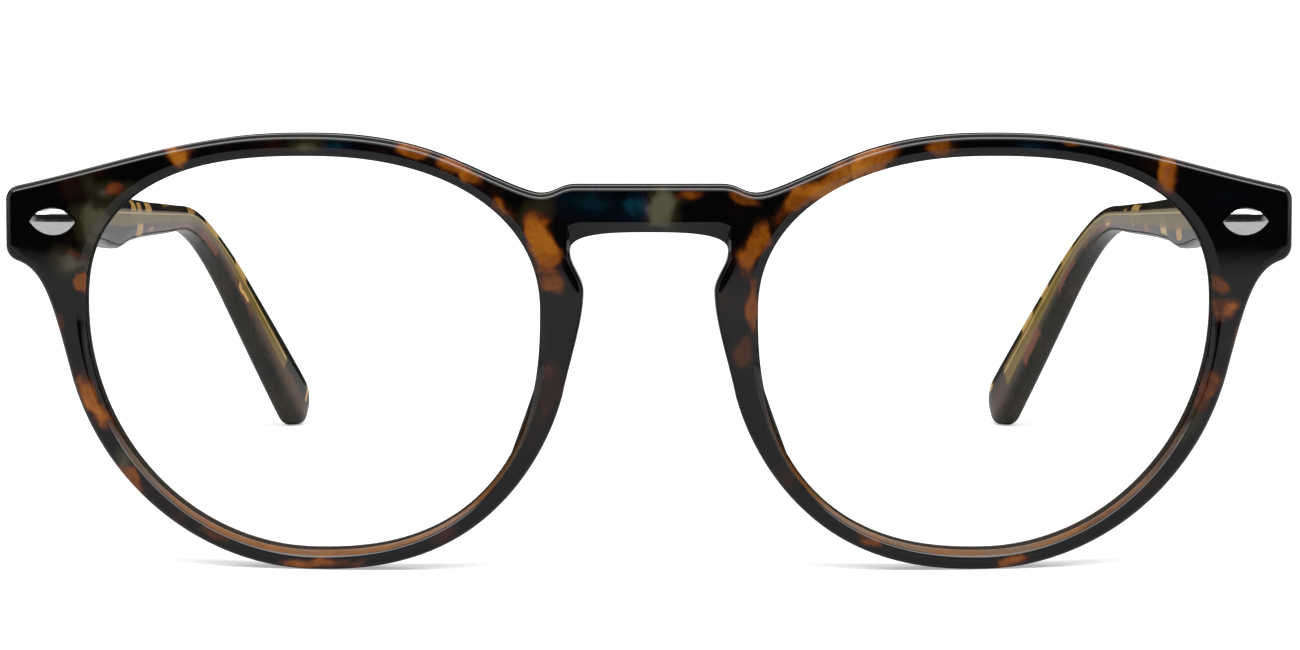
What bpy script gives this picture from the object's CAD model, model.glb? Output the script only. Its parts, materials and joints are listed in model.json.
# %% [markdown]
# # Round tortoiseshell glasses with a keyhole bridge
#
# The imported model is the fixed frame. Its metal pieces have the right shape and only need a finish.
# The plastic pieces are made again here with finer curves, because gloss shows every facet.
# Lengths are in millimetres until a mesh is placed, and Blender's are in metres.

import json
import math

import bpy
from mathutils import Matrix, Vector


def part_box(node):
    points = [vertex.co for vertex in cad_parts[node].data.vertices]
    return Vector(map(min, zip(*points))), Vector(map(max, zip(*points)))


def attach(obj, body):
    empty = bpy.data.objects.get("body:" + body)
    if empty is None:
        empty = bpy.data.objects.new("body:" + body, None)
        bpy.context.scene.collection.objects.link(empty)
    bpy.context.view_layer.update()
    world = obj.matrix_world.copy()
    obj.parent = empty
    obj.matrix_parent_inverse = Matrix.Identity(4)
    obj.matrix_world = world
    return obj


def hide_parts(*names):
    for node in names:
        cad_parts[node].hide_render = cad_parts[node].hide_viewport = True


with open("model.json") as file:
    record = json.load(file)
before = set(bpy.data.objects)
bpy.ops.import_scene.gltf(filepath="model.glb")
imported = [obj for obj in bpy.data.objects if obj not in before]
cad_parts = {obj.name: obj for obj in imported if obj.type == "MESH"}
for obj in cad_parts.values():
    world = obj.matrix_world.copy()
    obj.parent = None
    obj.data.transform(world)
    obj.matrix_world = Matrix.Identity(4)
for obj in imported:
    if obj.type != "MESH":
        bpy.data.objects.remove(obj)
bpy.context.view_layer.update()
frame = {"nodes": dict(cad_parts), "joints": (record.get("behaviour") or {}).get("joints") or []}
MM = 0.001


def box_mm(node):
    low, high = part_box(node)
    return low / MM, high / MM


front_low, front_high = box_mm("front_frame")
lens_low, lens_high = box_mm("right_lens")
pin = Vector(frame["joints"][1]["pos_m"]) / MM
print("front", front_high - front_low, "lens", lens_high - lens_low, "hinge pin", pin)

# %% [markdown]
# ## The shape of the front
#
# A front like this is milled from a flat sheet: two openings, an outline round them, and every edge rounded.
# So it is drawn as a row of stations. Each has a point of the outline and the point of the opening that
# faces it. The openings are superellipses in four quarters, so each quarter has its own squareness.

# %% Sizes of the front
FRONT_W = front_high.x - front_low.x
FRONT_T = 4.0
WRAP_R = 320.0
DOME_R = 220.0
EDGE_R = 0.8
BACK_EDGE_R = 0.5
GROOVE_D = 0.6
GROOVE_W = 1.4
LENS_GAP = 0.06
LENS_T = 1.8
BEVEL_W = 0.9
CORNER_BEVEL_W = 0.55
BEVEL_D = 0.7
LOW_BEVEL_D = 1.1
BACK_BEVEL = 0.35
FLAT_POWER = 1.9
LOW_POWER = 1.4
GROOVE_AT = FRONT_T * 0.52

LENS_GRIP = GROOVE_D - 2 * LENS_GAP
EYE_A = (lens_high.x - lens_low.x) / 2 - LENS_GRIP
EYE_X = (lens_high.x + lens_low.x) / 2
EYE_H = lens_high.z - lens_low.z - 2 * LENS_GRIP
EYE_UPPER_H = 16.6
EYE_LOWER_H = EYE_H - EYE_UPPER_H
EYE_Z = lens_low.z + LENS_GRIP + EYE_LOWER_H
POWERS = {"upper_nose": 2.2, "upper_side": 2.5, "lower_nose": 2.4, "lower_side": 2.0}
RIM_W = {"top": 2.4, "bottom": 2.1, "nose": 3.4, "side": 2.6}

BRIDGE_TOP_Z = 41.9
BRIDGE_H = 5.1
BRIDGE_FLAT_W = 15.6
VALLEY_DROP = 0.95
KEYHOLE_W = 16.9
ARCH_H = 2.2
ARCH_POWER = 2.9
PINCH_W = 14.0
PINCH_DROP = 6.4
FACET_H = 1.15
FACET_SIDE = 0.3
END_TOP_Z = 41.2
END_H = 7.5
CORNER_R = 1.3
print("opening", 2 * EYE_A, "x", EYE_H, "centre", EYE_X, EYE_Z)


# %% Curves and the opening
def mix(a, b, t):
    return a + (b - a) * t


def sine(degrees):
    return math.sin(math.radians(degrees))


def cosine(degrees):
    return math.cos(math.radians(degrees))


def signed_power(value, power):
    return math.copysign(abs(value) ** power, value)


def left_of(way):
    return Vector((-way[1], way[0]))


def curve(a, b, c, d, steps):
    """A cubic curve from a to d, without its last point."""
    made = []
    for i in range(steps):
        t = i / steps
        u = 1 - t
        made.append(a * u**3 + b * 3 * t * u * u + c * 3 * t * t * u + d * t**3)
    return made


def straight(a, b, steps):
    return [mix(a, b, i / steps) for i in range(steps)]


def arch(foot, start, end, steps):
    """The keyhole's head: a quarter of a superellipse from its foot to the middle of the bridge."""
    power = 2 / ARCH_POWER
    made = []
    for i in range(steps):
        angle = mix(start, end, i / steps)
        inward = foot[0] * (signed_power(cosine(angle), power) - 1)
        rise = ARCH_H * signed_power(sine(angle), power)
        made.append(foot + Vector((inward, rise)))
    return made


def eye_point(angle):
    level = "upper" if sine(angle) >= 0 else "lower"
    side = "nose" if cosine(angle) < 0 else "side"
    power = 2 / POWERS[level + "_" + side]
    height = EYE_UPPER_H if level == "upper" else EYE_LOWER_H
    return Vector((
        EYE_X + EYE_A * signed_power(cosine(angle), power),
        EYE_Z + height * signed_power(sine(angle), power),
    ))


def eye_normal(angle):
    return -left_of((eye_point(angle + 0.5) - eye_point(angle - 0.5)).normalized())


def rim_point(angle):
    level = RIM_W["top"] if sine(angle) >= 0 else RIM_W["bottom"]
    side = RIM_W["side"] if cosine(angle) >= 0 else RIM_W["nose"]
    width = mix(level, side, abs(cosine(angle)) ** (3 if cosine(angle) >= 0 else 8))
    return eye_point(angle) + eye_normal(angle) * width


def rim_way(angle):
    return -left_of(eye_normal(angle))


print("rim at the top", rim_point(90), "and at the side", rim_point(0))

# %% Points of the outline, and the opening's angles that they face
FINE = 3
BRIDGE_MID_A = 146.3
SHOULDER_A = 145.8
VALLEY_A = 143.5
BROW_START_A = 120
BROW_END_A = 75
TOP_CORNER_A = 32
BOTTOM_CORNER_A = 12
CORNER_STEP_A = 4
FLANK_END_A = -15
NOSE_START_A = -165
PINCH_A = -183
KEYHOLE_SIDE_A = -197
KEYHOLE_CORNER_A = -205
KEYHOLE_TOP_A = -210.5
ARCH_CORNER_A = 45
UNDER_END_A = -213.2

UNDER_Z = BRIDGE_TOP_Z - BRIDGE_H
bridge_mid = Vector((0, BRIDGE_TOP_Z))
shoulder = Vector((BRIDGE_FLAT_W / 2, BRIDGE_TOP_Z))
valley = Vector((EYE_X - EYE_A, BRIDGE_TOP_Z - VALLEY_DROP))
end_top = Vector((FRONT_W / 2, END_TOP_Z))
end_bottom = Vector((FRONT_W / 2, END_TOP_Z - END_H))
pinch = Vector((PINCH_W / 2, UNDER_Z - PINCH_DROP))
keyhole_side = Vector((KEYHOLE_W / 2, UNDER_Z - ARCH_H))
brow_way = (end_top - rim_point(BROW_END_A)).normalized()
flank_way = Vector((-0.95, -0.3)).normalized()
up = Vector((0, 1))
corner_pull = 0.4 * CORNER_R
flank_start = end_bottom + flank_way * CORNER_R
print("bridge", bridge_mid, "end piece", end_top, end_bottom, "pinch", pinch)

# %% The outline, from the top of the bridge round to its underside. A pull is the length of a curve's handle
LEVEL_PULL = 1.8
VALLEY_PULL = 1.6
BROW_START_PULL = 4
BROW_END_PULL = 9
END_TOP_PULL = 12
FLANK_START_PULL = 3.2
FLANK_END_PULL = 8
NOSE_PULL = 3.8
ABOVE_NOSE_PULL = 3.2
KEYHOLE_PULL = 1.4


def leg(points, start, end):
    """Stations: each point with the angle of the opening's point that faces it."""
    return [(p, mix(start, end, i / len(points))) for i, p in enumerate(points)]


def rim_leg(start, end, steps):
    angles = [mix(start, end, i / steps) for i in range(steps)]
    return [(rim_point(a), a) for a in angles]


outline = (
    leg(straight(bridge_mid, shoulder, 3 * FINE), BRIDGE_MID_A, SHOULDER_A)
    + leg(curve(shoulder, shoulder + Vector((LEVEL_PULL, 0)), valley - Vector((VALLEY_PULL, 0)), valley,
                4 * FINE), SHOULDER_A, VALLEY_A)
    + leg(curve(valley, valley + Vector((LEVEL_PULL, 0)),
                rim_point(BROW_START_A) - rim_way(BROW_START_A) * BROW_START_PULL,
                rim_point(BROW_START_A), 5 * FINE), VALLEY_A, BROW_START_A)
    + rim_leg(BROW_START_A, BROW_END_A, 9 * FINE)
    + leg(curve(rim_point(BROW_END_A), rim_point(BROW_END_A) + rim_way(BROW_END_A) * BROW_END_PULL,
                end_top - brow_way * END_TOP_PULL, end_top - brow_way * CORNER_R, 8 * FINE),
          BROW_END_A, TOP_CORNER_A)
    + leg(curve(end_top - brow_way * CORNER_R, end_top - brow_way * corner_pull,
                end_top - up * corner_pull, end_top - up * CORNER_R, 4 * FINE),
          TOP_CORNER_A, TOP_CORNER_A - CORNER_STEP_A)
    + leg(straight(end_top - up * CORNER_R, end_bottom + up * CORNER_R, 2 * FINE),
          TOP_CORNER_A - CORNER_STEP_A, BOTTOM_CORNER_A)
    + leg(curve(end_bottom + up * CORNER_R, end_bottom + up * corner_pull,
                end_bottom + flank_way * corner_pull, flank_start, 4 * FINE),
          BOTTOM_CORNER_A, BOTTOM_CORNER_A - CORNER_STEP_A)
    + leg(curve(flank_start, flank_start + flank_way * FLANK_START_PULL,
                rim_point(FLANK_END_A) - rim_way(FLANK_END_A) * FLANK_END_PULL,
                rim_point(FLANK_END_A), 7 * FINE),
          BOTTOM_CORNER_A - CORNER_STEP_A, FLANK_END_A)
    + rim_leg(FLANK_END_A, NOSE_START_A, 26 * FINE)
    + leg(curve(rim_point(NOSE_START_A), rim_point(NOSE_START_A) + rim_way(NOSE_START_A) * NOSE_PULL,
                pinch - up * ABOVE_NOSE_PULL, pinch, 5 * FINE), NOSE_START_A, PINCH_A)
    + leg(curve(pinch, pinch + up * KEYHOLE_PULL, keyhole_side - up * KEYHOLE_PULL, keyhole_side, 4 * FINE),
          PINCH_A, KEYHOLE_SIDE_A)
    + leg(arch(keyhole_side, 0, ARCH_CORNER_A, 4 * FINE), KEYHOLE_SIDE_A, KEYHOLE_CORNER_A)
    + leg(arch(keyhole_side, ARCH_CORNER_A, 90, 5 * FINE), KEYHOLE_TOP_A, UNDER_END_A)
    + [(Vector((0, UNDER_Z)), UNDER_END_A)]
)
LAST = len(outline) - 1
print(len(outline), "stations round each half")


def outward(i):
    """Direction away from the plastic at a station."""
    if i == 0:
        return up
    if i == LAST:
        return -up
    before = (outline[i][0] - outline[i - 1][0]).normalized()
    after = (outline[i + 1][0] - outline[i][0]).normalized()
    return left_of((before + after).normalized())


# %% [markdown]
# ## The section of the front
#
# Round each station runs one closed ring: the rounded front edge, the outer wall, the rounded back edge, the
# back, the opening's wall with the lens groove in it, the rounded bevel of the opening, and the front face.
# The head of the keyhole has a milled facet instead of the rounded edge, with square upper corners.

# %% One ring of the front
ROUND_STEPS = 6
BACK_STEPS = 4
BEVEL_STEPS = 8
FACE_STEPS = 8
facet_corner = keyhole_side + Vector((FACET_SIDE, ARCH_H + FACET_H))


def facet_point(i):
    """Where the milled facet meets the front face: on the sides and top of a square-cornered window."""
    n = outward(i)
    lean = math.degrees(math.atan2(-n[1], -n[0]))
    if lean < 45:
        return Vector((facet_corner[0], mix(keyhole_side[1], facet_corner[1], math.tan(math.radians(lean)))))
    share = 1 - 1 / math.tan(math.radians(lean)) if lean < 89.9 else 1
    return Vector((mix(facet_corner[0], outline[i][0][0], share), facet_corner[1]))


def front_ring(i):
    """Points of the ring at a station, each as (point, depth behind the front face)."""
    o, angle = outline[i]
    n = outward(i)
    e = eye_point(angle)
    m = eye_normal(angle)
    low = max(0, -sine(angle)) ** 0.7
    bevel = mix(BEVEL_W, CORNER_BEVEL_W, abs(sine(2 * angle)) if low else 0)
    deep = mix(BEVEL_D, LOW_BEVEL_D, low)
    power = mix(FLAT_POWER, LOW_POWER, low)
    ring = []
    for k in range(ROUND_STEPS + 1):
        if angle <= KEYHOLE_SIDE_A:
            ring.append((mix(facet_point(i), o, k / ROUND_STEPS), FACET_H * k / ROUND_STEPS))
        else:
            turn = 90 * k / ROUND_STEPS
            ring.append((o - n * EDGE_R * (1 - sine(turn)), EDGE_R * (1 - cosine(turn))))
    for k in range(BACK_STEPS + 1):
        turn = 90 * k / BACK_STEPS
        ring.append((o - n * BACK_EDGE_R * (1 - cosine(turn)), FRONT_T - BACK_EDGE_R * (1 - sine(turn))))
    eye_back = e + m * BACK_BEVEL
    for k in range(1, FACE_STEPS // 2):
        ring.append((mix(o - n * BACK_EDGE_R, eye_back, 2 * k / FACE_STEPS), FRONT_T))
    ring += [
        (eye_back, FRONT_T),
        (e, FRONT_T - BACK_BEVEL),
        (e, GROOVE_AT + GROOVE_W / 2),
        (e + m * GROOVE_D, GROOVE_AT),
        (e, GROOVE_AT - GROOVE_W / 2),
    ]
    for k in range(BEVEL_STEPS + 1):
        turn = 90 * k / BEVEL_STEPS
        out = bevel * (1 - max(0, cosine(turn)) ** power)
        ring.append((e + m * out, deep * (1 - sine(turn) ** power)))
    face_from = e + m * bevel
    for k in range(1, FACE_STEPS):
        ring.append((mix(face_from, ring[0][0], k / FACE_STEPS), 0))
    return ring


def face_y(p):
    """How far the bent and domed front face lies behind its foremost plane."""
    wrap = WRAP_R - math.sqrt(WRAP_R**2 - p[0] ** 2)
    dome = DOME_R - math.sqrt(DOME_R**2 - (p[1] - EYE_Z) ** 2)
    return wrap + dome


rings = [front_ring(i) for i in range(len(outline))]
RING = len(rings[0])
middle_y = min(face_y(p) + depth for ring in rings for p, depth in ring) - front_low.y
to_row = Matrix.Scale(MM, 4) @ Matrix.Translation((0, -middle_y, 0))
print(RING, "points a ring, middle of the glasses", middle_y, "mm behind the front")


# %% [markdown]
# ## Tools for every piece
#
# A closed shape with rings is a flat grid rolled up twice, so a grid primitive is the start of each plastic
# piece. It also brings a UV map, whose first direction runs along the piece and whose second runs round it.

# %% Modelling helpers
WELD = 1e-7


def only(piece):
    bpy.ops.object.select_all(action="DESELECT")
    piece.select_set(True)
    bpy.context.view_layer.objects.active = piece


def edit_all():
    bpy.ops.object.mode_set(mode="EDIT")
    bpy.ops.mesh.select_all(action="SELECT")


def end_edit(outside_out=False):
    """Leaves edit mode, after turning all faces outwards if asked."""
    if outside_out:
        bpy.ops.mesh.select_all(action="SELECT")
        bpy.ops.mesh.normals_make_consistent(inside=False)
    bpy.ops.object.mode_set(mode="OBJECT")


def linked(name, data):
    made = bpy.data.objects.new(name, data)
    bpy.context.scene.collection.objects.link(made)
    return made


def rolled_grid(name, along, round_steps, place):
    """A grid primitive whose points move to place(i, j), i along and j round. Its seams are welded."""
    bpy.ops.object.select_all(action="DESELECT")
    bpy.ops.mesh.primitive_grid_add(x_subdivisions=along, y_subdivisions=round_steps, size=2)
    piece = bpy.context.object
    piece.name = piece.data.name = name
    for vert in piece.data.vertices:
        i = round((vert.co.x + 1) / 2 * along)
        j = round((vert.co.y + 1) / 2 * round_steps)
        vert.co = to_row @ place(i, j)
    edit_all()
    bpy.ops.mesh.remove_doubles(threshold=WELD)
    end_edit(outside_out=True)
    return piece


def cut_away(piece, cutter):
    """Takes the cutter's shape out of the piece, as a milling cutter would, and removes the cutter."""
    only(piece)
    cut = piece.modifiers.new("cut", "BOOLEAN")
    cut.object = cutter
    cut.solver = "EXACT"
    bpy.ops.object.modifier_apply(modifier=cut.name)
    bpy.data.objects.remove(cutter)


def block(low, high, place):
    """A cube primitive between two corners, in the frame of place."""
    bpy.ops.object.select_all(action="DESELECT")
    bpy.ops.mesh.primitive_cube_add(size=1)
    made = bpy.context.object
    low, high = Vector(low), Vector(high)
    size = Matrix.Diagonal((*(high - low), 1))
    made.data.transform(to_row @ place @ Matrix.Translation((low + high) / 2) @ size)
    return made


def gloss_normals(piece, crease=26):
    """Smooth shading that stays sharp at creases, and leaves broad faces flat up to their rounded edges."""
    only(piece)
    bpy.ops.object.shade_smooth_by_angle(angle=math.radians(crease))
    weighted = piece.modifiers.new("face weight", "WEIGHTED_NORMAL")
    weighted.keep_sharp = True
    bpy.ops.object.modifier_apply(modifier=weighted.name)


def report(piece):
    size = piece.dimensions / MM
    print(f"{piece.name}: {len(piece.data.polygons)} faces, {size.x:.1f} x {size.y:.1f} x {size.z:.1f} mm")


# %% [markdown]
# ## The front
#
# One half is rolled up from the rings. Then the flat seat of the hinge, the pocket of its plate and the
# recess of the plaque are cut, as on the bench after the outline is milled. The mirror gives the other half.

# %% Frames of the end piece and the hinge
KNUCKLE_R = 1.4
KNUCKLE_GAP = 0.15
BUTT_IN = 2.2
PLATE_T = 1.2
PLATE_H = 5.75
FIT_GAP = 0.03
SEAT_IN = 6.2
SEAT_BELOW = 0.8
SEAT_CUT = 0.1
RECESS_D = 0.35
RECESS_GAP = 0.1
hinge_z = pin.z
temple_x = pin.x + BUTT_IN + KNUCKLE_R + KNUCKLE_GAP
seat_x = FRONT_W / 2 - SEAT_IN
seat_a = math.asin(seat_x / WRAP_R)
seat_low_z = END_TOP_Z - END_H - SEAT_BELOW
seat_y = face_y((seat_x, seat_low_z)) + FRONT_T - SEAT_CUT
seat = Matrix.Translation((seat_x, seat_y, 0)) @ Matrix.Rotation(seat_a, 4, "Z")
plaque_y = -(seat_y - face_y((seat_x, hinge_z))) * math.cos(seat_a) + RECESS_D
print("seat", seat_x, seat_y, "turned", math.degrees(seat_a))


# %% Shapes that are rolled and cut
OVAL_POINTS = 48


def front_place(i, j):
    p, depth = rings[i % len(outline)][j % RING]
    return Vector((p[0], face_y(p) + depth, max(p[1], front_low.z)))


def oval_cutter(length, height, low, high, place):
    """A pointed oval, which is where two circles overlap, extruded from a circle primitive."""
    radius = (length**2 + height**2) / (4 * height)
    half_angle = math.asin(length / 2 / radius)
    bpy.ops.object.select_all(action="DESELECT")
    bpy.ops.mesh.primitive_circle_add(vertices=OVAL_POINTS, fill_type="NGON")
    made = bpy.context.object
    for k, vert in enumerate(made.data.vertices):
        side = 1 if k < OVAL_POINTS / 2 else -1
        turn = half_angle * (1 - 4 * (k % (OVAL_POINTS // 2)) / OVAL_POINTS)
        x = side * radius * math.sin(turn)
        z = side * (radius * math.cos(turn) - radius + height / 2)
        vert.co = (x, low, z)
    edit_all()
    bpy.ops.mesh.extrude_region_move(TRANSFORM_OT_translate={"value": (0, high - low, 0)})
    end_edit(outside_out=True)
    made.data.transform(to_row @ place)
    return made


print(len(rings) * RING, "points in one half of the front")

# %% Roll and cut one half, then mirror it
PLAQUE_W = 5.2
PLAQUE_H = 2.9
PLATE_END_X = 3
CLEAR_BY = 3
plate_x = (pin.x - seat_x - PLATE_T, PLATE_END_X)
plaque_place = seat @ Matrix.Translation((0, 0, hinge_z))

front = rolled_grid("front_plastic", len(outline), RING, front_place)
cut_away(front, block((-SEAT_IN, 0, seat_low_z),
                      (SEAT_IN + CLEAR_BY, 2 * CLEAR_BY, END_TOP_Z + CLEAR_BY), seat))
cut_away(front, block((plate_x[0] - FIT_GAP, -PLATE_T - FIT_GAP, hinge_z - PLATE_H / 2 - FIT_GAP),
                      (plate_x[1] + FIT_GAP, CLEAR_BY, hinge_z + PLATE_H / 2 + FIT_GAP), seat))
cut_away(front, oval_cutter(PLAQUE_W + 2 * RECESS_GAP, PLAQUE_H + 2 * RECESS_GAP,
                            plaque_y - CLEAR_BY, plaque_y, plaque_place))
only(front)
bpy.ops.object.mode_set(mode="EDIT")
bpy.ops.mesh.select_all(action="DESELECT")
bpy.ops.object.mode_set(mode="OBJECT")
for face in front.data.polygons:
    face.select = all(abs(front.data.vertices[v].co.x) < WELD for v in face.vertices)
bpy.ops.object.mode_set(mode="EDIT")
bpy.ops.mesh.select_mode(type="FACE")
bpy.ops.mesh.delete(type="FACE")
bpy.ops.object.mode_set(mode="OBJECT")
halves = front.modifiers.new("other half", "MIRROR")
halves.merge_threshold = 10 * WELD
bpy.ops.object.modifier_apply(modifier=halves.name)
gloss_normals(front)
report(front)

# %% [markdown]
# ## The lenses
#
# A clear demonstration lens is a thin domed shell with a V all round its edge, which sits in the rim's
# groove. Its rings run from the middle of the front face out over the V and back to the middle of the back.

# %% Lenses
LENS_SIDES = 144
LENS_FACE_STEPS = 10
BEVEL_HALF = GROOVE_W / 2 - 0.1
face_shares = [k / LENS_FACE_STEPS for k in range(LENS_FACE_STEPS + 1)]
lens_profile = (
    [(share, -LENS_GAP, -LENS_T / 2) for share in face_shares]
    + [(1, -LENS_GAP, -BEVEL_HALF), (1, LENS_GRIP, 0), (1, -LENS_GAP, BEVEL_HALF)]
    + [(share, -LENS_GAP, LENS_T / 2) for share in reversed(face_shares)]
)


def lens_place(i, j):
    share, out, depth = lens_profile[i]
    angle = 360 * j / LENS_SIDES
    edge = eye_point(angle) + eye_normal(angle) * out
    p = mix(Vector((EYE_X, EYE_Z)), edge, share)
    return Vector((p[0], face_y(p) + GROOVE_AT + depth, p[1]))


def mirrored(piece, name):
    """A copy with its own mesh on the other side, turned right side out again."""
    made = linked(name, piece.data.copy())
    made.data.name = name
    made.data.transform(Matrix.Scale(-1, 4, (1, 0, 0)))
    only(made)
    edit_all()
    end_edit(outside_out=True)
    return made


lenses = {"right": rolled_grid("right_lens_clear", len(lens_profile) - 1, LENS_SIDES, lens_place)}
lenses["left"] = mirrored(lenses["right"], "left_lens_clear")
for lens in lenses.values():
    gloss_normals(lens, crease=40)
    report(lens)

# %% [markdown]
# ## The temples
#
# A temple is cut from plastic sheet with a wire shot through it, then bent warm behind the ear.
# Its section is a rounded rectangle that changes along the wire, so the tables give half sizes against the
# length. The lower edge steps down at the end of the deep part. Rings that shrink to a point close the tip.

# %% The core line
temple_y = seat_y + (temple_x - seat_x) * math.tan(seat_a)
TEMPLE_UP = 0.4
TEMPLE_L = 84.0
BEND_R = 38.0
BEND_A = math.radians(45)
BEND_IN_A = math.radians(19)
SLOPE_A = math.radians(3.2)
INWARD_A = math.radians(1.8)
TIP_R = 4.0
temple = (
    Matrix.Translation((temple_x, temple_y, hinge_z + TEMPLE_UP))
    @ Matrix.Rotation(math.pi / 2 + INWARD_A, 4, "Z")
    @ Matrix.Rotation(SLOPE_A, 4, "Y")
)


def bend(angle):
    """Frame of the core line where it has turned through an angle: x along it, y inwards, z up."""
    arc_end = Matrix.Translation((BEND_R * math.sin(angle), 0, BEND_R * (math.cos(angle) - 1)))
    lean = Matrix.Rotation(BEND_IN_A, 4, "X")
    start = Matrix.Translation((TEMPLE_L, 0, 0))
    return start @ lean @ arc_end @ Matrix.Rotation(angle, 4, "Y") @ lean.inverted()


ear = temple @ bend(BEND_A)
bend_l = BEND_R * BEND_A
ear_l = (ear.translation.z - TIP_R) / -(ear.to_3x3() @ Vector((1, 0, 0))).z
core_l = TEMPLE_L + bend_l + ear_l
print("core line", core_l, "mm, earpiece", ear_l, "mm")


def core_frame(x):
    if x <= TEMPLE_L:
        return temple @ Matrix.Translation((x, 0, 0))
    if x <= TEMPLE_L + bend_l:
        return temple @ bend((x - TEMPLE_L) / BEND_R)
    return ear @ Matrix.Translation((x - TEMPLE_L - bend_l, 0, 0))


# %% Half sizes beside the core line, against the length along it
MITRE_L = 3
MID_BEND = TEMPLE_L + bend_l / 2
UP_SIZES = [(-MITRE_L, 3), (0, 3), (20, 2.8), (45, 2.2), (62, 1.8), (TEMPLE_L, 1.5), (MID_BEND, 1.7),
            (core_l, TIP_R)]
DOWN_SIZES = [(-MITRE_L, 3.9), (0, 3.9), (26, 3.2), (38, 3.95), (45, 3.1), (53, 2.7), (65, 2.4),
              (TEMPLE_L, 1.9), (MID_BEND, 1.8), (core_l, TIP_R)]
IN_SIZES = [(-MITRE_L, BUTT_IN), (0, BUTT_IN), (40, 1.9), (TEMPLE_L, 1.6), (core_l, 1.9)]
OUT_SIZES = [(-MITRE_L, 2.9), (0, 2.9), (30, 2.2), (60, 1.8), (TEMPLE_L, 1.6), (core_l, 1.9)]
TEMPLE_POWER = 3.4
TEMPLE_SIDES = 40
TIP_RINGS = 10
STEP = 1.6


def eased(table, x):
    """A table's value at x, with each stretch between two rows eased at its ends."""
    for (x0, a), (x1, b) in zip(table, table[1:]):
        if x <= x1 or (x1, b) == table[-1]:
            t = max(0.0, min(1.0, (x - x0) / (x1 - x0)))
            return mix(a, b, (t * t * (3 - 2 * t) + t) / 2)


def temple_ring(x, share, on):
    ring = []
    for k in range(TEMPLE_SIDES):
        angle = 360 * k / TEMPLE_SIDES
        across = signed_power(cosine(angle), 2 / TEMPLE_POWER)
        upright = signed_power(sine(angle), 2 / TEMPLE_POWER)
        y = across * eased(IN_SIZES if across > 0 else OUT_SIZES, x)
        z = upright * eased(UP_SIZES if upright > 0 else DOWN_SIZES, x)
        ring.append(core_frame(x) @ Vector((on, y * math.sqrt(share), z * share)))
    return ring


steps = math.ceil((core_l + MITRE_L) / STEP)
LAST_RING_MM = (core_l + MITRE_L) * (steps + TIP_RINGS) / steps
temple_rings = [temple_ring(mix(-MITRE_L, core_l, i / steps), 1, 0) for i in range(steps + 1)]
for i in range(1, TIP_RINGS + 1):
    turn = 90 * i / TIP_RINGS
    temple_rings.append(temple_ring(core_l, max(cosine(turn), 0), TIP_R * sine(turn)))
print(len(temple_rings), "rings of", TEMPLE_SIDES, "points in a temple")


# %% Roll the temples, butt them against the seat and sink the hinge plate
def temple_place(i, j):
    p = temple_rings[i][j % TEMPLE_SIDES]
    return Vector((p.x, p.y, max(p.z, front_low.z)))


TEMPLE_PLATE_L = 11
TEMPLE_PLATE_H = 4.4
BUTT_GAP = 0.1
right_temple = rolled_grid("right_temple_plastic", len(temple_rings) - 1, TEMPLE_SIDES, temple_place)
only(right_temple)
edit_all()
bpy.ops.mesh.bisect(
    plane_co=to_row @ seat @ Vector((0, BUTT_GAP, 0)),
    plane_no=seat.to_3x3() @ Vector((0, 1, 0)),
    use_fill=True, clear_inner=True,
)
end_edit()
cut_away(right_temple, block(
    (KNUCKLE_R + PLATE_T / 2 - FIT_GAP, BUTT_IN - PLATE_T - FIT_GAP, -TEMPLE_PLATE_H / 2 - FIT_GAP),
    (TEMPLE_PLATE_L + FIT_GAP, BUTT_IN + CLEAR_BY, TEMPLE_PLATE_H / 2 + FIT_GAP), temple,
))
temples = {"right": right_temple, "left": mirrored(right_temple, "left_temple_plastic")}
for piece in temples.values():
    gloss_normals(piece, crease=30)
    report(piece)

# %% [markdown]
# ## The nose pads
#
# The pads are moulded on the back of the rims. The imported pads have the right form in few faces, so a copy
# is merged and subdivided twice, which rounds it as polishing does.


# %% Nose pads
def softened(node, name):
    made = linked(name, frame["nodes"][node].data.copy())
    made.data.name = name
    only(made)
    edit_all()
    bpy.ops.mesh.remove_doubles(threshold=10 * WELD)
    bpy.ops.mesh.tris_convert_to_quads()
    end_edit()
    smooth = made.modifiers.new("rounded", "SUBSURF")
    smooth.levels = smooth.render_levels = 2
    bpy.ops.object.modifier_apply(modifier=smooth.name)
    bpy.ops.object.shade_smooth()
    return made


pads = {side: softened(side + "_nose_pad", side + "_pad_plastic") for side in ("left", "right")}
for piece in pads.values():
    report(piece)

# %% [markdown]
# ## The camera
#
# It stands 345 mm in front of the glasses and a little above them, and looks down by five degrees.
# The photograph is 1300 by 650 pixels. Patches of the pattern are placed by its pixels, so the camera comes
# before the materials.

# %% Camera
PHOTO_W = 1300
PHOTO_H = 650
PHOTO_MID = 649
FOCAL_PX = 3252
SENSOR = 36
EYE_AWAY = 345
EYE_UP = 57.45
eye = Vector((0, -EYE_AWAY, EYE_UP))
look_down = math.radians(5.043)
lens_turn = Matrix.Rotation(math.pi / 2 - look_down, 3, "X")

view = bpy.data.cameras.new("camera")
view.sensor_width = SENSOR
view.lens = FOCAL_PX / PHOTO_W * SENSOR
view.shift_x = (PHOTO_W / 2 - PHOTO_MID) / PHOTO_W
view.clip_start = 0.01
camera = linked("camera", view)
camera.location = to_row @ eye
camera.rotation_euler = lens_turn.to_euler()
bpy.context.scene.camera = camera


def on_front(px, py):
    """The place on the front's face, as x and z in metres, that the photograph shows at a pixel."""
    ray = lens_turn @ Vector(((px - PHOTO_MID) / FOCAL_PX, (PHOTO_H / 2 - py) / FOCAL_PX, -1))
    hit = eye
    for _ in range(4):
        hit = eye + ray * ((face_y((hit.x, hit.z)) if hit is not eye else 0) - eye.y) / ray.y
    return Vector((hit.x, 0, hit.z)) * MM


print("plaque at pixel (1240, 222) sits at", on_front(1240, 222) / MM)

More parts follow.
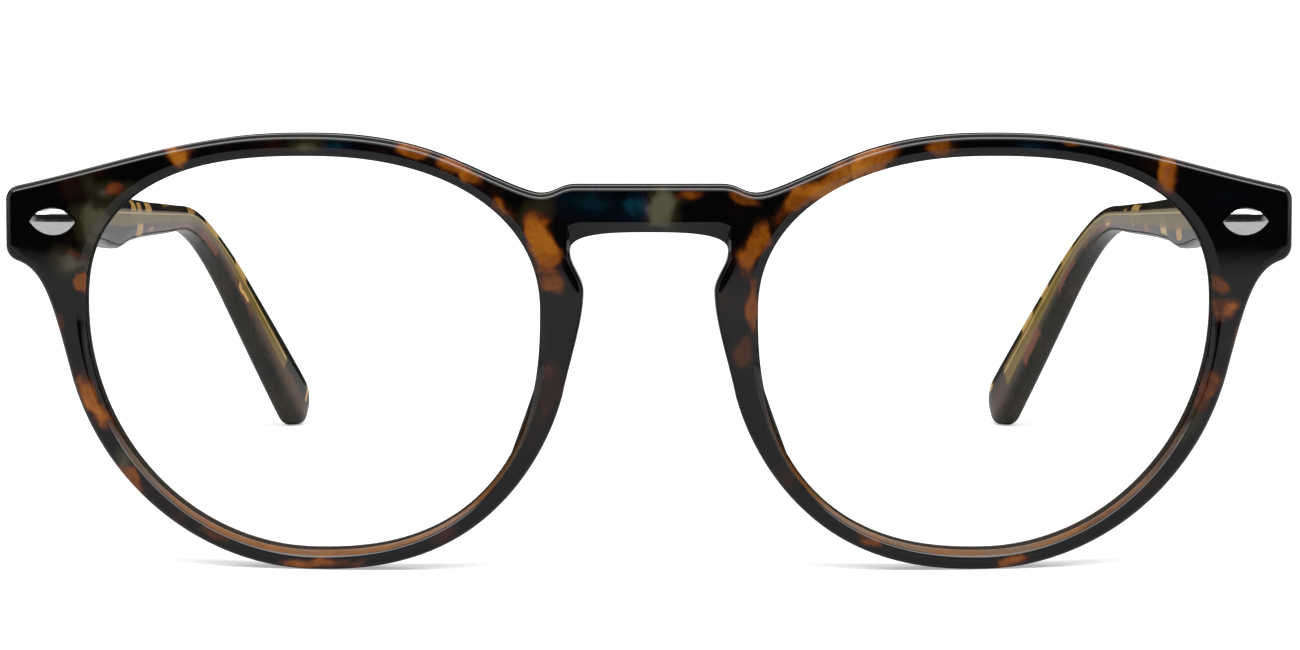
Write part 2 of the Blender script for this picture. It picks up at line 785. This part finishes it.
# %% [markdown]
# ## Tortoiseshell
#
# The sheet is made of dark, amber, olive and blue chips pressed together, so its patches are soft lumps of
# colour that go right through. Each patch is an oval whose edge is broken up by noise. Patches of one colour
# are joined by their maximum, and a ramp turns that amount into colour: black, red-brown, then amber.


# %% Shader helpers: one function for each kind of node
def wire(tree, kind, inputs, out=0, **settings):
    """Adds a node and gives one of its outputs. An input is a value or another node's output."""
    made = tree.nodes.new(kind)
    for name, setting in settings.items():
        setattr(made, name, setting)
    for name, value in inputs.items():
        if isinstance(value, bpy.types.NodeSocket):
            tree.links.new(value, made.inputs[name])
        else:
            made.inputs[name].default_value = value
    return made.outputs[out]


def maths(tree, operation, *values):
    return wire(tree, "ShaderNodeMath", dict(enumerate(values)), operation=operation)


def times(tree, a, b):
    return maths(tree, "MULTIPLY", a, b)


def noise(tree, where, scale, detail=3, **more):
    return wire(tree, "ShaderNodeTexNoise", {"Vector": where, "Scale": scale, "Detail": detail, **more})


def on_object(tree):
    return wire(tree, "ShaderNodeTexCoord", {}, out="Object")


def between(tree, value, low, high, to_low=0.0, to_high=1.0):
    """Runs smoothly from to_low, where the value is low, to to_high, where it is high."""
    inputs = {"Value": value, "From Min": low, "From Max": high, "To Min": to_low, "To Max": to_high}
    return wire(tree, "ShaderNodeMapRange", inputs, interpolation_type="SMOOTHSTEP")


def ramp(tree, amount, stops):
    """A colour for an amount, from stops of (amount, colour)."""
    out = wire(tree, "ShaderNodeValToRGB", {"Fac": amount})
    elements = out.node.color_ramp.elements
    while len(elements) < len(stops):
        elements.new(1)
    for element, (place, colour) in zip(elements, stops):
        element.position = place
        element.color = (*colour, 1)
    return out


def blend_colours(tree, amount, a, b, kind="MIX"):
    made = tree.nodes.new("ShaderNodeMix")
    made.data_type = "RGBA"
    made.blend_type = kind
    for socket, value in ((made.inputs[0], amount), (made.inputs[6], a), (made.inputs[7], b)):
        if isinstance(value, bpy.types.NodeSocket):
            tree.links.new(value, socket)
        else:
            socket.default_value = (*value, 1) if isinstance(value, tuple) else value
    return made.outputs[2]


print("helpers: a node, maths, noise, a range, a ramp, a blend")


# %% Kinds of ray, and a finish for a piece
def seen_ray(tree):
    """Whether a ray is the camera's, straight or through a lens, and whether it is a mirrored one."""
    ray = wire(tree, "ShaderNodeLightPath", {}).node.outputs
    bounces = maths(tree, "ADD", ray["Diffuse Depth"], ray["Glossy Depth"])
    straight_on = maths(tree, "LESS_THAN", bounces, 0.5)
    from_camera = maths(tree, "MAXIMUM", ray["Is Camera Ray"], ray["Is Transmission Ray"])
    seen = times(tree, from_camera, straight_on)
    mirrored_ray = maths(tree, "GREATER_THAN", maths(tree, "SUBTRACT", ray["Is Glossy Ray"], seen), 0.5)
    return seen, mirrored_ray


def material(name, **values):
    """A new material with its node tree and shader. A value's name is its socket's, with underscores."""
    made = bpy.data.materials.new(name)
    made.use_nodes = True
    shader = made.node_tree.nodes["Principled BSDF"]
    for socket, value in values.items():
        shader.inputs[socket.replace("_", " ")].default_value = value
    return made, made.node_tree, shader


def finish(piece, *finishes):
    """Gives a piece its finishes, one for each material slot."""
    while len(piece.data.materials) > len(finishes):
        piece.data.materials.pop()
    for slot, made in enumerate(finishes):
        if slot < len(piece.data.materials):
            piece.data.materials[slot] = made
        else:
            piece.data.materials.append(made)


MM_PER_PX = EYE_AWAY / FOCAL_PX
print("one pixel is", round(MM_PER_PX, 3), "mm on the front")

# %% Patches of the front: pixel in the middle, half length and half width in pixels, tilt, strength
AMBER = [
    (181, 160, 12, 13, 0, 0.97), (112, 191, 12, 9, 0, 0.64), (76, 258, 20, 11, -35, 0.52),
    (79, 283, 13, 8, -60, 0.74), (60, 322, 14, 6, -75, 0.6), (88, 395, 30, 13, -62, 0.95),
    (131, 474, 24, 11, -48, 0.72), (210, 531, 19, 8, -28, 0.52), (315, 564, 52, 9, 0, 0.97),
    (440, 537, 16, 8, 30, 0.42), (549, 402, 48, 13, 74, 0.38), (551, 372, 9, 5, 80, 0.45),
    (418, 155, 20, 9, -22, 0.88), (446, 165, 18, 9, -22, 0.86), (472, 180, 18, 9, -35, 0.85),
    (503, 206, 24, 9, -50, 0.74), (543, 246, 28, 15, -72, 0.9), (553, 280, 16, 12, -70, 0.68),
    (689, 192, 22, 8, 6, 0.74), (737, 196, 17, 6, -15, 0.6), (752, 252, 24, 14, 60, 0.97),
    (797, 204, 26, 11, 45, 0.88), (832, 181, 32, 12, 34, 0.93), (872, 162, 32, 12, 22, 1.03),
    (937, 147, 19, 12, 5, 0.8), (1072, 140, 12, 4, -8, 0.6), (1112, 146, 12, 4, -12, 0.55),
    (1168, 173, 24, 12, 62, 0.84), (1230, 305, 17, 14, 0, 0.9), (1222, 285, 14, 9, -30, 0.62),
    (1237, 332, 13, 4, 75, 0.72), (1210, 388, 22, 10, 66, 0.68), (872, 543, 20, 9, -28, 0.74),
    (1015, 561, 18, 8, 10, 0.95), (788, 480, 18, 9, -45, 0.36), (752, 304, 34, 7, 86, 0.7),
    (741, 351, 16, 11, 70, 0.6),
]
OLIVE = [
    (100, 222, 44, 24, 78, 0.85), (104, 194, 24, 17, 0, 0.85), (70, 262, 22, 18, -50, 0.85),
    (303, 147, 26, 12, 0, 0.8), (664, 202, 32, 18, 55, 1.0), (534, 222, 26, 15, 60, 0.45),
    (126, 462, 18, 14, -48, 0.85), (1166, 178, 26, 9, 62, 0.6), (1240, 340, 20, 10, 0, 0.3),
    (1188, 420, 24, 12, 66, 0.45),
]
BLUE = [
    (592, 204, 36, 22, 0, 0.62), (640, 205, 22, 24, 80, 1.0), (338, 147, 34, 12, 0, 0.7),
    (575, 196, 14, 10, 0, 0.4), (1030, 147, 30, 9, 0, 0.58), (1222, 200, 22, 14, 0, 0.3),
]
AMBER_RAMP = [
    (0.0, (0.0009, 0.0009, 0.0012)), (0.3, (0.008, 0.0028, 0.0016)), (0.55, (0.055, 0.013, 0.002)),
    (0.8, (0.185, 0.05, 0.004)), (1.0, (0.3, 0.104, 0.01)),
]
OLIVE_RAMP = [(0.0, (0, 0, 0)), (0.5, (0.016, 0.014, 0.006)), (1.0, (0.07, 0.066, 0.04))]
BLUE_RAMP = [(0.0, (0, 0, 0)), (0.5, (0.0, 0.003, 0.006)), (1.0, (0.0, 0.024, 0.038))]
print(len(AMBER), "amber,", len(OLIVE), "olive and", len(BLUE), "blue patches")

# %% How a patch, a warp and a polish are made
THROUGH = 1000


def patches(tree, where, rows, core=0.5):
    """The largest of the rows' masks at a place: 0 outside every patch, up to its strength inside one."""
    amount = None
    ragged = between(tree, noise(tree, where, 230, 3), 0.3, 0.7, -0.45, 0.45)
    for px, py, long, wide, tilt, strength in rows:
        local = wire(tree, "ShaderNodeMapping", {
            "Vector": where,
            "Location": on_front(px, py),
            "Rotation": (0, -math.radians(tilt), 0),
            "Scale": (long * MM_PER_PX * MM, THROUGH, wide * MM_PER_PX * MM),
        }, vector_type="TEXTURE")
        away = wire(tree, "ShaderNodeVectorMath", {0: local}, out="Value", operation="LENGTH")
        mask = between(tree, maths(tree, "ADD", away, ragged), 1.45, core, 0.0, strength)
        amount = mask if amount is None else maths(tree, "MAXIMUM", amount, mask)
    return amount


def warped(tree, place, pushes):
    """A place pushed about by noise, for each pair of a noise scale and a distance."""
    for scale, push in pushes:
        swirl = wire(tree, "ShaderNodeTexNoise", {"Vector": place, "Scale": scale, "Detail": 2}, out="Color")
        centred = wire(tree, "ShaderNodeVectorMath", {0: swirl, 1: (0.5, 0.5, 0.5)}, operation="SUBTRACT")
        scaled = wire(tree, "ShaderNodeVectorMath", {0: centred, "Scale": push}, operation="SCALE")
        place = wire(tree, "ShaderNodeVectorMath", {0: place, 1: scaled}, operation="ADD")
    return place


def polish(tree, shader, smoothest=0.03, dullest=0.06):
    """Gloss with faint hand-polishing waves, and roughness that drifts a little."""
    place = on_object(tree)
    tree.links.new(between(tree, noise(tree, place, 160, 4), 0.35, 0.7, smoothest, dullest),
                   shader.inputs["Roughness"])
    ripple = noise(tree, place, 320, 2)
    waves = wire(tree, "ShaderNodeBump", {"Strength": 0.12, "Distance": 0.02 * MM, "Height": ripple})
    tree.links.new(waves, shader.inputs["Normal"])


print("a patch runs", THROUGH, "units deep, which is right through")

# %% Front plastic. Light gets into the wall of the opening, so its lower part glows brown
INNER_FROM = (ROUND_STEPS + BACK_STEPS + FACE_STEPS // 2 + 1) / RING
INNER_TO = INNER_FROM + 10.3 / RING
GLOW_TOP_Z = 20 * MM
GLOW_FULL_Z = 3 * MM
WALL_RAMP = [(0.35, (0.07, 0.025, 0.01)), (0.5, (0.2, 0.075, 0.02)), (0.65, (0.14, 0.085, 0.05))]
front_finish, tree, shader = material("front_tortoiseshell", IOR=1.49)
plain = on_object(tree)
where = warped(tree, plain, [(150, 0.002), (420, 0.0009)])
grain = between(tree, noise(tree, plain, 2600, 3), 0.3, 0.62, 0.93, 1.0)
depth = between(tree, noise(tree, where, 260, 2), 0.34, 0.62, 0.8, 1.04)
amber = times(tree, patches(tree, where, AMBER), times(tree, grain, depth))
haze = between(tree, noise(tree, where, 130, 3), 0.54, 0.78, 0.0, 0.42)
amber = maths(tree, "MAXIMUM", amber, haze)
colour = ramp(tree, amber, AMBER_RAMP)
sheet = wire(tree, "ShaderNodeUVMap", {}, uv_map="UVMap")
round_it = wire(tree, "ShaderNodeSeparateXYZ", {"Vector": sheet}, out="Y")
inner = times(tree, between(tree, round_it, INNER_FROM - 0.01, INNER_FROM),
              between(tree, round_it, INNER_TO + 0.01, INNER_TO))
height = wire(tree, "ShaderNodeSeparateXYZ", {"Vector": plain}, out="Z")
low_down = between(tree, height, GLOW_TOP_Z, GLOW_FULL_Z)
wall = ramp(tree, noise(tree, where, 90, 3), WALL_RAMP)
colour = blend_colours(tree, times(tree, inner, low_down), colour, wall)
colour = blend_colours(tree, 1.0, colour, ramp(tree, patches(tree, where, OLIVE, 0), OLIVE_RAMP), "LIGHTEN")
colour = blend_colours(tree, 1.0, colour, ramp(tree, patches(tree, where, BLUE, 0), BLUE_RAMP), "LIGHTEN")
tree.links.new(colour, shader.inputs["Base Color"])
polish(tree, shader)
print("front pattern:", len(AMBER) + len(OLIVE) + len(BLUE), "patches,", len(tree.nodes), "nodes")

# %% [markdown]
# ## Temple plastic
#
# The temples are cut from a lighter sheet: grey-green horn with amber blocks along the upper edge and rust
# below. The wire shows through the plastic as an olive line with a bright streak. All of it follows the
# temple, so it reads the UV map, scaled to millimetres along the temple and round it.

# %% Patches of the temples: millimetres along, turns round from the inner face, half sizes of both, strength
TEMPLE_PATCHES = {
    "left": [
        (43, 0.06, 1.3, 0.08, 1.0), (47, 0.05, 1.6, 0.07, 0.95), (54, 0.06, 2.2, 0.08, 1.0),
        (48, 0.93, 2.2, 0.06, 0.9), (56, 0.92, 2, 0.02, 0.7), (86, 0.1, 2.2, 0.12, 0.75),
        (98, 0.1, 3.4, 0.13, 1.0), (111, 0.1, 2.4, 0.13, 0.95), (113.5, 0.965, 2.2, 0.02, 0.85),
        (25, 0.12, 3, 0.1, 0.9), (14, 0.93, 3, 0.05, 0.8), (68, 0.14, 3, 0.05, 0.6),
        (141, 0.02, 1.2, 0.16, 0.95), (20, 0.5, 6, 0.1, 0.9), (44, 0.4, 5, 0.09, 0.9),
        (64, 0.56, 6, 0.08, 0.85), (83, 0.42, 4, 0.09, 0.9), (104, 0.52, 5, 0.1, 0.9),
        (126, 0.42, 5, 0.08, 0.9), (33, 0.6, 4, 0.05, 0.8),
    ],
    "right": [
        (34, 0.95, 1.6, 0.05, 0.85), (44, 0.955, 2.3, 0.05, 1.0), (56, 0.94, 1.5, 0.05, 0.6),
        (66, 0.965, 1, 0.025, 0.7), (85, 0.955, 2, 0.035, 1.0), (64, 0.08, 3.2, 0.08, 1.0),
        (72, 0.05, 1, 0.03, 0.8), (107, 0.1, 2.2, 0.14, 1.0), (116.2, 0.1, 1.5, 0.14, 1.0),
        (123, 0.1, 2.6, 0.14, 1.05), (140.5, 0.14, 2.5, 0.1, 1.05), (22, 0.1, 3, 0.1, 0.9),
        (10, 0.94, 3, 0.05, 0.7), (92, 0.15, 1.5, 0.04, 0.6), (18, 0.55, 6, 0.1, 0.9),
        (40, 0.42, 5, 0.09, 0.9), (61, 0.55, 6, 0.08, 0.85), (80, 0.4, 4, 0.09, 0.9),
        (100, 0.55, 5, 0.1, 0.9), (121, 0.42, 5, 0.08, 0.9),
    ],
}
RUST_PATCHES = {
    "left": [
        (82, 0.93, 7, 0.06, 0.75), (97, 0.91, 5, 0.06, 1.0),
        (62, 0.92, 8, 0.06, 0.5), (112, 0.95, 6, 0.05, 0.6),
    ],
    "right": [
        (92, 0.95, 9, 0.05, 0.8), (108, 0.93, 4, 0.05, 0.9),
        (124, 0.92, 4, 0.07, 1.0), (58, 0.93, 9, 0.05, 0.5),
    ],
}
HORN_RAMP = [(0.0, (0.014, 0.013, 0.009)), (0.35, (0.035, 0.027, 0.014)), (0.55, (0.26, 0.13, 0.03)),
             (0.8, (0.55, 0.3, 0.075)), (1.0, (0.68, 0.42, 0.14))]
RUST_RAMP = [(0.0, (0, 0, 0)), (0.5, (0.07, 0.025, 0.012)), (1.0, (0.16, 0.055, 0.028))]
print(sum(len(rows) for rows in TEMPLE_PATCHES.values()), "amber patches on the temples")

# %% Temple plastic
ROUND_MM = 20
BROWN_SHADE = (0.085, 0.04, 0.014)
SHADE_FROM = 40
SHADE_FULL = 70
WIRE_FROM = 6.0
WIRE_TO = {"left": 130.0, "right": 133.0}
OUTER_GLOW = 0.2
GLOW_MM = {"left": 0.6, "right": 1.0}
GLOW_COLOUR = (0.2, 0.13, 0.028)
STREAK_AT = 0.28
STREAK_MM = 0.09
STREAK_COLOUR = (0.6, 0.46, 0.2)


def spots(tree, where, rows):
    """The largest of the rows' masks on a sheet whose units are millimetres along and round."""
    amount = None
    for along, turns, half_l, half_turns, strength in rows:
        local = wire(tree, "ShaderNodeMapping", {
            "Vector": where,
            "Location": (along, turns * ROUND_MM, 0),
            "Scale": (half_l, half_turns * ROUND_MM, THROUGH),
        }, vector_type="TEXTURE")
        boxy = wire(tree, "ShaderNodeVectorMath", {0: local}, operation="ABSOLUTE")
        sides = wire(tree, "ShaderNodeSeparateXYZ", {"Vector": boxy}).node.outputs
        mask = between(tree, maths(tree, "MAXIMUM", sides["X"], sides["Y"]), 1.12, 0.8, 0.0, strength)
        amount = mask if amount is None else maths(tree, "MAXIMUM", amount, mask)
    return amount


def horn_colour(tree, run, side):
    """Horn with amber blocks, rust patches, and brown low on the inner face."""
    where = warped(tree, run, [(0.16, 3.0), (0.5, 0.9)])
    cloud = between(tree, noise(tree, run, 0.12, 4), 0.42, 0.7, 0.0, 0.3)
    grain = between(tree, noise(tree, run, 2.2, 3), 0.3, 0.62, 0.9, 1.0)
    amount = maths(tree, "MAXIMUM", spots(tree, where, TEMPLE_PATCHES[side]), cloud)
    colour = ramp(tree, times(tree, amount, grain), HORN_RAMP)
    rust = ramp(tree, spots(tree, where, RUST_PATCHES[side]), RUST_RAMP)
    colour = blend_colours(tree, 1.0, colour, rust, "LIGHTEN")
    split = wire(tree, "ShaderNodeSeparateXYZ", {"Vector": run}).node.outputs
    inner_low = between(tree, split["Y"], 0.86 * ROUND_MM, 0.97 * ROUND_MM, 0.0, 0.75)
    below = times(tree, inner_low, between(tree, split["X"], SHADE_FROM, SHADE_FULL))
    return blend_colours(tree, below, colour, BROWN_SHADE, "LIGHTEN")


def with_wire(tree, run, side, colour):
    """The olive line and the bright streak of the core wire, seen through the plastic."""
    split = wire(tree, "ShaderNodeSeparateXYZ", {"Vector": run}).node.outputs
    turn = times(tree, split["Y"], 2 * math.pi / ROUND_MM)
    core = times(tree, between(tree, split["X"], WIRE_FROM, WIRE_FROM + 2),
                 between(tree, split["X"], WIRE_TO[side] + 1, WIRE_TO[side]))
    facing_in = between(tree, maths(tree, "COSINE", turn), -0.3, 0.3, OUTER_GLOW, 1.0)
    core = times(tree, core, facing_in)
    upper = maths(tree, "SIGN", maths(tree, "SINE", turn))
    beside = times(tree, maths(tree, "PINGPONG", split["Y"], ROUND_MM / 4), upper)
    width = GLOW_MM[side]
    line = between(tree, maths(tree, "ABSOLUTE", beside), width, width * 0.6, 0.0, 0.85)
    colour = blend_colours(tree, times(tree, line, core), colour, GLOW_COLOUR)
    off_streak = maths(tree, "ABSOLUTE", maths(tree, "SUBTRACT", beside, STREAK_AT))
    streak = times(tree, between(tree, off_streak, STREAK_MM, 0.04, 0.0, 0.8), core)
    return blend_colours(tree, streak, colour, STREAK_COLOUR)


def temple_finish(side, seed):
    made, tree, shader = material(side + "_temple_horn", IOR=1.46)
    run = wire(tree, "ShaderNodeMapping", {
        "Vector": wire(tree, "ShaderNodeUVMap", {}, uv_map="UVMap"),
        "Scale": (LAST_RING_MM, ROUND_MM, 1),
        "Location": (-MITRE_L, 0, seed),
    })
    colour = with_wire(tree, run, side, horn_colour(tree, run, side))
    tree.links.new(colour, shader.inputs["Base Color"])
    polish(tree, shader, 0.06, 0.12)
    print(made.name, "has", len(tree.nodes), "nodes")
    return made


temple_finishes = {"left": temple_finish("left", 3.1), "right": temple_finish("right", 7.7)}

# %% [markdown]
# ## Clear lenses and metals
#
# The lens is coated clear plastic, which mirrors very little, so an index near 1 stands in for the coat.
# Where lamps look through it, a Transparent shader takes its place, because a thin lens casts almost no
# shadow. Its ground edge is dull and dark: a second material, on the faces in the middle of the UV map.
# The plaques are polished. The hinges are stamped and tumbled, so they are duller and more broken up.

# %% Lens finish
lens_finish, tree, shader = material("clear_lens", Base_Color=(1, 1, 1, 1), Roughness=0.0, IOR=1.03)
shader.inputs["Transmission Weight"].default_value = 1.0
tint = noise(tree, on_object(tree), 60, 2)
tree.links.new(ramp(tree, tint, [(0.3, (0.99, 0.995, 0.993)), (0.7, (1, 1, 1))]),
               shader.inputs["Base Color"])
lamp_ray = wire(tree, "ShaderNodeLightPath", {}, out="Is Shadow Ray")
clear = wire(tree, "ShaderNodeBsdfTransparent", {"Color": (0.97, 0.975, 0.972, 1)})
pane = wire(tree, "ShaderNodeMixShader", {0: lamp_ray, 1: shader.outputs[0], 2: clear})
tree.links.new(pane, tree.nodes["Material Output"].inputs["Surface"])

edge_finish, tree, shader = material("ground_lens_edge", Specular_IOR_Level=0.2)
wheel_marks = noise(tree, on_object(tree), 3000, 3)
tree.links.new(ramp(tree, wheel_marks, [(0.3, (0.018, 0.015, 0.012)), (0.7, (0.026, 0.02, 0.016))]),
               shader.inputs["Base Color"])
tree.links.new(between(tree, wheel_marks, 0.3, 0.7, 0.55, 0.75), shader.inputs["Roughness"])
EDGE_SHARE = 2 / (len(lens_profile) - 1)
for lens in lenses.values():
    sheet = lens.data.uv_layers[0].uv
    for face in lens.data.polygons:
        along = sum(sheet[k].vector.x for k in face.loop_indices) / len(face.loop_indices)
        face.material_index = int(abs(along - 0.5) < EDGE_SHARE)
    print(lens.name, sum(face.material_index for face in lens.data.polygons), "faces on the ground edge")


# %% Metal finishes
def metal_finish(name, colour, worn, smooth, grain_scale, bump):
    """Metal whose grain, fine scratches and slight darkening come from noise on Object coordinates."""
    made, tree, shader = material(name, Metallic=1.0)
    place = on_object(tree)
    stretched = wire(tree, "ShaderNodeMapping", {"Vector": place, "Scale": (1, 1, 6)})
    scratches = noise(tree, stretched, grain_scale, 5)
    tree.links.new(ramp(tree, scratches, [(0.3, worn), (0.65, colour)]), shader.inputs["Base Color"])
    tree.links.new(between(tree, scratches, 0.3, 0.75, smooth, smooth * 2), shader.inputs["Roughness"])
    dents = wire(tree, "ShaderNodeBump", {"Strength": bump, "Distance": 0.01 * MM, "Height": scratches})
    tree.links.new(dents, shader.inputs["Normal"])
    return made


plaque_finish = metal_finish("polished_plaque", (0.9, 0.89, 0.87), (0.8, 0.78, 0.75), 0.05, 900, 0.05)
hinge_finish = metal_finish("tumbled_hinge", (0.62, 0.61, 0.59), (0.42, 0.41, 0.39), 0.22, 1800, 0.3)
screw_finish = metal_finish("turned_screw", (0.72, 0.71, 0.69), (0.5, 0.48, 0.45), 0.16, 2500, 0.2)
wire_finish = metal_finish("brass_wire", (0.72, 0.6, 0.33), (0.5, 0.4, 0.2), 0.25, 2200, 0.2)
print("metals:", [made.name for made in (plaque_finish, hinge_finish, screw_finish, wire_finish)])

# %% [markdown]
# ## Join everything to the frame
#
# Each new piece rides on the body of the node it stands for, and names the slot of its finish.

# %% Ride, replace and finish
BODY = {"left": "left_arm", "right": "right_arm"}
METALS = {"plaque": plaque_finish, "front_hinge": hinge_finish, "temple_hinge": hinge_finish,
          "hinge_screw": screw_finish, "core_wire": wire_finish}
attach(front, "front")
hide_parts("front_frame")
finish(front, front_finish)
for side in ("left", "right"):
    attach(lenses[side], "front")
    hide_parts(side + "_lens")
    finish(lenses[side], lens_finish, edge_finish)
    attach(pads[side], "front")
    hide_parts(side + "_nose_pad")
    finish(pads[side], front_finish)
    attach(temples[side], BODY[side])
    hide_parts(side + "_temple")
    finish(temples[side], temple_finishes[side])
    for node, made in METALS.items():
        finish(frame["nodes"][side + "_" + node], made)
print("7 plastic pieces stand for their nodes, and", 2 * len(METALS), "metal nodes stay")

# %% [markdown]
# ## Floor, light and world
#
# The glasses stand on white paper under two soft lamps: a broad one above and in front, and a weak one
# behind. The room is dark up to its bright ceiling, which is what makes most of the front look black.
# The paper and the background are white for the camera and through the lenses, but the paper keeps the
# shadow, because only part of its white is its own light.

# %% Floor
FLOOR = 4.8
NEAR_LIFT = 0.4
FAR_LIFT = 0.9
bpy.ops.mesh.primitive_plane_add(size=FLOOR)
floor = bpy.context.object
floor.name = "floor"
paper, tree, shader = material("white_paper", Roughness=0.9)
fibres = noise(tree, on_object(tree), 700, 3)
tree.links.new(ramp(tree, fibres, [(0.3, (0.79, 0.795, 0.8)), (0.7, (0.82, 0.822, 0.824))]),
               shader.inputs["Base Color"])
shader.inputs["Specular IOR Level"].default_value = 0.0
seen, mirrored_ray = seen_ray(tree)
shader.inputs["Emission Color"].default_value = (1, 1, 1, 1)
place = on_object(tree)
away = wire(tree, "ShaderNodeVectorMath", {0: place}, out="Value", operation="LENGTH")
lift = between(tree, away, 0.2, 0.9, NEAR_LIFT, FAR_LIFT)
tree.links.new(times(tree, seen, lift), shader.inputs["Emission Strength"])
dimmed = wire(tree, "ShaderNodeBsdfDiffuse", {"Color": (0.42, 0.42, 0.43, 1)})
paper_shader = wire(tree, "ShaderNodeMixShader", {0: mirrored_ray, 1: shader.outputs[0], 2: dimmed})
tree.links.new(paper_shader, tree.nodes["Material Output"].inputs["Surface"])
finish(floor, paper)
print("paper", FLOOR, "m square")

# %% World
ROOM_DARK = 0.012
FILL_LIGHT = (0.4, 0.405, 0.41)
world = bpy.data.worlds.new("studio")
bpy.context.scene.world = world
world.use_nodes = True
tree = world.node_tree
seen, mirrored_ray = seen_ray(tree)
way = wire(tree, "ShaderNodeTexCoord", {}, out="Generated")
parts = wire(tree, "ShaderNodeSeparateXYZ", {"Vector": way}).node.outputs
ceiling = times(tree, between(tree, parts["Z"], 0.4, 0.5, ROOM_DARK, 1.0),
                between(tree, parts["Z"], 0.7, 0.85, 1.0, 0.55))
walls = between(tree, maths(tree, "ABSOLUTE", parts["X"]), 0.8, 0.97, ROOM_DARK, 0.8)
light = maths(tree, "MAXIMUM", ceiling, walls)
room = wire(tree, "ShaderNodeCombineColor", {"Red": light, "Green": light, "Blue": light})
mirrored_room = blend_colours(tree, mirrored_ray, FILL_LIGHT, room)
back = blend_colours(tree, seen, mirrored_room, (1.0, 1.0, 1.0))
tree.links.new(back, tree.nodes["Background"].inputs["Color"])
print("world has", len(tree.nodes), "nodes")


# %% Lamps
def softbox(name, place, size, power):
    """A soft lamp at a place in metres, turned to the glasses and hidden from the camera."""
    lamp = bpy.data.lights.new(name, "AREA")
    lamp.shape = "RECTANGLE"
    lamp.size, lamp.size_y = size
    lamp.energy = power
    made = linked(name, lamp)
    made.location = place
    made.rotation_euler = (-Vector(place)).to_track_quat("-Z", "Y").to_euler()
    made.visible_camera = False
    made.visible_transmission = False
    print(name, "of", power, "W,", size[0], "x", size[1], "m")


softbox("front_softbox", (0, -0.66, 0.92), (3.0, 0.42), 22)
softbox("back_softbox", (0, 0.8, 0.9), (1.2, 0.3), 3)

# %% View and sizes
bpy.context.scene.view_settings.view_transform = "Standard"
bpy.context.view_layer.update()
